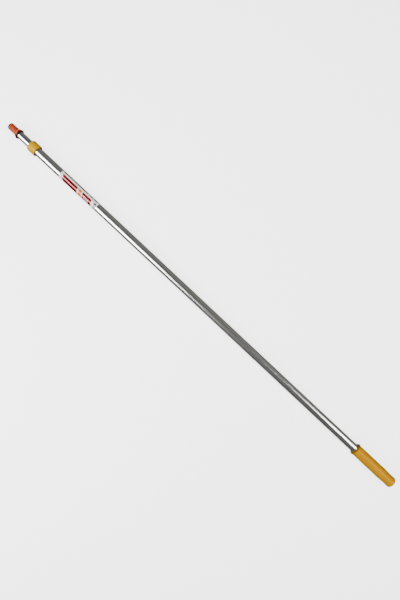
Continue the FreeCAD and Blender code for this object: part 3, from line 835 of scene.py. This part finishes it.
INNER_FINISHES = {
    "stop_sleeve": white_nylon, "guide_bush": white_nylon, "wedge_ring": white_nylon,
    "journal_plug": black_nylon, "lock_sleeve": black_nylon, "end_plug": black_nylon,
    "bump_pad": black_rubber, "journal_pin": steel, "sleeve_pin": steel, "bush_washer": steel,
}


def dress_inner_pieces():
    """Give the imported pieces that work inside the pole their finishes."""
    for node, material in INNER_FINISHES.items():
        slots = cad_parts[node].data.materials
        slots.clear()
        slots.append(material)


# ---------------------------------------------------------------- floor, light and camera

FLOOR_REACH = 12.0
FLOOR_GLOW = 3.0
CAMERA_HEIGHT = 1.1785
CAMERA_PLACE = (0.009, -0.00643)
CAMERA_TURN = math.radians(-136.862)
CAMERA_LENS = 27.4
CAMERA_SENSOR = 36.0


def make_floor():
    """A plain pale floor under the pole. It glows, but the pole neither reflects it nor is lit by it."""
    corners = [(-FLOOR_REACH, -FLOOR_REACH, 0), (FLOOR_REACH, -FLOOR_REACH, 0),
               (FLOOR_REACH, FLOOR_REACH, 0), (-FLOOR_REACH, FLOOR_REACH, 0)]
    mesh = bpy.data.meshes.new("floor")
    mesh.from_pydata(corners, [], [(0, 1, 2, 3)])
    floor = bpy.data.objects.new("floor", mesh)
    bpy.context.collection.objects.link(floor)
    material, _, _ = new_finish(
        "pale_floor", Base_Color=colour(0.8, 0.8, 0.8), Roughness=0.9, Specular_IOR_Level=0.0,
        Emission_Color=colour(1, 1, 1), Emission_Strength=FLOOR_GLOW)
    mesh.materials.append(material)
    floor.visible_glossy = False
    floor.visible_diffuse = False


def make_world():
    """A dim grey room for light and reflections, twice as bright towards -Y.

    The camera sees a white backdrop in its place.
    """
    world = bpy.data.worlds.new("studio")
    world.use_nodes = True
    tree = world.node_tree
    tree.nodes.clear()
    direction = add_node(tree, "ShaderNodeTexCoord").outputs["Generated"]
    across = add_node(tree, "ShaderNodeSeparateXYZ")
    feed(tree, across, Vector=direction)
    side = ramp(tree, across.outputs["Y"], -1.0, -0.5)
    walls = blend_colours(tree, side, colour(0.21, 0.207, 0.195), colour(0.105, 0.104, 0.098))
    room = feed(tree, add_node(tree, "ShaderNodeBackground"), Color=walls, Strength=1.0)
    backdrop = feed(tree, add_node(tree, "ShaderNodeBackground"), Color=colour(1, 1, 1), Strength=1.0)
    seen = add_node(tree, "ShaderNodeLightPath").outputs["Is Camera Ray"]
    mix = add_node(tree, "ShaderNodeMixShader")
    tree.links.new(seen, mix.inputs[0])
    tree.links.new(room.outputs[0], mix.inputs[1])
    tree.links.new(backdrop.outputs[0], mix.inputs[2])
    tree.links.new(mix.outputs[0], add_node(tree, "ShaderNodeOutputWorld").inputs[0])
    bpy.context.scene.world = world


def make_panel_light(name, place, aim, width, depth, brightness, glossy=True, diffuse=True):
    """A soft rectangular light of the given brightness at a place, facing a point."""
    light = bpy.data.lights.new(name, "AREA")
    light.shape = "RECTANGLE"
    light.size = width
    light.size_y = depth
    light.energy = brightness * math.pi * width * depth
    panel = bpy.data.objects.new(name, light)
    bpy.context.collection.objects.link(panel)
    panel.location = place
    panel.rotation_euler = (Vector(aim) - Vector(place)).to_track_quat("-Z", "Y").to_euler()
    panel.visible_glossy = glossy
    panel.visible_diffuse = diffuse


def make_lights():
    """Six soft panels.

    Three show in the gloss alone and draw the tubes' bright bands: two on the +Y side past the tip,
    and one on the -Y side past the grip. The other three light the colours of the head and the grip
    and don't show in the gloss.
    """
    make_panel_light("tip_side_panel", place=(1.65, 1.05, 1.05), aim=(1.65, 0, 0),
                     width=2.4, depth=1.1, brightness=3.5, diffuse=False)
    make_panel_light("tip_side_strip", place=(1.45, 0.92, 1.12), aim=(1.45, 0, 0),
                     width=2.4, depth=0.34, brightness=36.0, diffuse=False)
    make_panel_light("grip_side_strip", place=(-1.85, -0.42, 1.15), aim=(-1.85, 0, 0),
                     width=1.9, depth=0.36, brightness=26.0, diffuse=False)
    make_panel_light("tip_glow", place=(0.62, 0.95, 1.1), aim=(1.1, 0, 0),
                     width=1.2, depth=1.3, brightness=7.2, glossy=False)
    make_panel_light("tip_fill", place=(0.62, 0, 1.9), aim=(1.2, 0, 0),
                     width=1.2, depth=2.0, brightness=3.0, glossy=False)
    make_panel_light("grip_fill", place=(-0.7, -0.4, 1.6), aim=(-0.7, 0, 0),
                     width=1.2, depth=1.0, brightness=5.8, glossy=False)


def make_camera():
    """A camera straight above the pole, turned so that the tip is up and to the left."""
    data = bpy.data.cameras.new("camera")
    data.lens = CAMERA_LENS
    data.sensor_width = CAMERA_SENSOR
    camera = bpy.data.objects.new("camera", data)
    bpy.context.collection.objects.link(camera)
    camera.location = (*CAMERA_PLACE, AXIS_HEIGHT + CAMERA_HEIGHT)
    camera.rotation_euler = (0, 0, CAMERA_TURN)
    bpy.context.scene.camera = camera


# ---------------------------------------------------------------- the whole pole

make_camera()
make_floor()
make_world()
make_lights()
make_tube("inner_tube_skin", INNER_REAR, INNER_FRONT, INNER_RADIUS, SPIGOT_RADIUS,
          "inner_section", inner_metal, "inner_tube")
make_tube("outer_tube_skin", OUTER_REAR, OUTER_FRONT, OUTER_RADIUS, PLUG_RADIUS,
          "outer_section", outer_metal, "outer_tube")
make_tip()
make_rivet()
make_collar()
make_label()
make_grip()
dress_inner_pieces()
